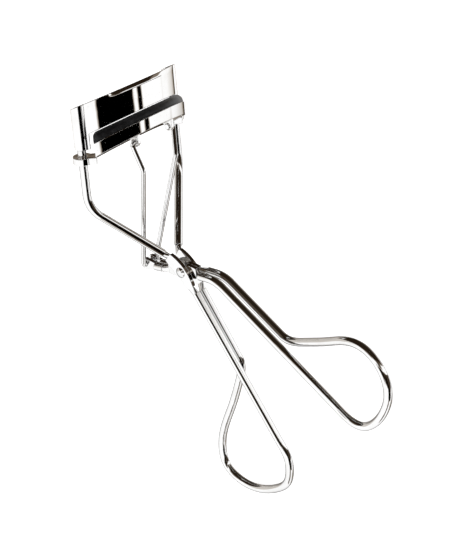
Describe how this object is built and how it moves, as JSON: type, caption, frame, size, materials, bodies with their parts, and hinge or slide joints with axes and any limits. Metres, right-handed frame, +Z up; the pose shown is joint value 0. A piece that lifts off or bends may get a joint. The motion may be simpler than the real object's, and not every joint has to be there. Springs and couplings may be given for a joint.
{
  "type": "eyelash curler",
  "caption": "Scissor-handled wire eyelash curler whose squeezed handles slide a padded lower jaw up two rails to a curved plate.",
  "frame": {"origin": "centre of the footprint, on the table that the tool lies on (on its right-hand side)", "axes": "+Z up from the table; +Y towards the jaws along the tool's length; +X towards the side the finger loops lean to"},
  "size_m": [0.0768, 0.1013, 0.0357],
  "materials": {
    "frame_chrome": "bright nickel-chrome plating",
    "plate_chrome": "mirror-polished pressed sheet",
    "rivet_steel": "plated, domed by the riveting tool",
    "lever_chrome": "bright nickel-chrome plating",
    "channel_chrome": "mirror-polished pressed sheet",
    "pad_rubber": "soft matt black silicone rubber",
    "rod_chrome": "bright nickel-chrome plating"
  },
  "bodies": {
    "frame": {"frame_wire": "frame_chrome", "upper_jaw_plate": "plate_chrome", "pivot_rivet": "rivet_steel"},
    "lever": {"lever_wire": "lever_chrome"},
    "lower_jaw": {"lower_jaw_channel": "channel_chrome", "rubber_pad": "pad_rubber"},
    "left_link": {"left_link_rod": "rod_chrome"},
    "right_link": {"right_link_rod": "rod_chrome"}
  },
  "joints": [
    {"name": "lever_pivot", "type": "hinge", "parent": "frame", "child": "lever", "pos_m": [-0.01975, 0.00402, 0.01127], "axis": [0.144, -0.137, 0.98], "range_deg": [0, 28]},
    {"name": "jaw_slide", "type": "slide", "parent": "frame", "child": "lower_jaw", "axis": [0, -0.9904, -0.1385], "range_m": [0, 0.00533]},
    {"name": "left_rod_hinge", "type": "hinge", "parent": "lever", "child": "left_link", "pos_m": [-0.03138, 0.00264, 0.01387], "axis": [0.144, -0.137, 0.98], "range_deg": [-25.4, 0]},
    {"name": "right_rod_hinge", "type": "hinge", "parent": "lever", "child": "right_link", "pos_m": [-0.03168, 0.00293, 0.01179], "axis": [0.144, -0.137, 0.98], "range_deg": [-25.4, 0]}
  ],
  "couplings": [
    {"joint": "jaw_slide", "follows": "lever_pivot", "m_per_rad": 0.0108},
    {"joint": "left_rod_hinge", "follows": "lever_pivot", "ratio": -0.902},
    {"joint": "right_rod_hinge", "follows": "lever_pivot", "ratio": -0.902}
  ]
}
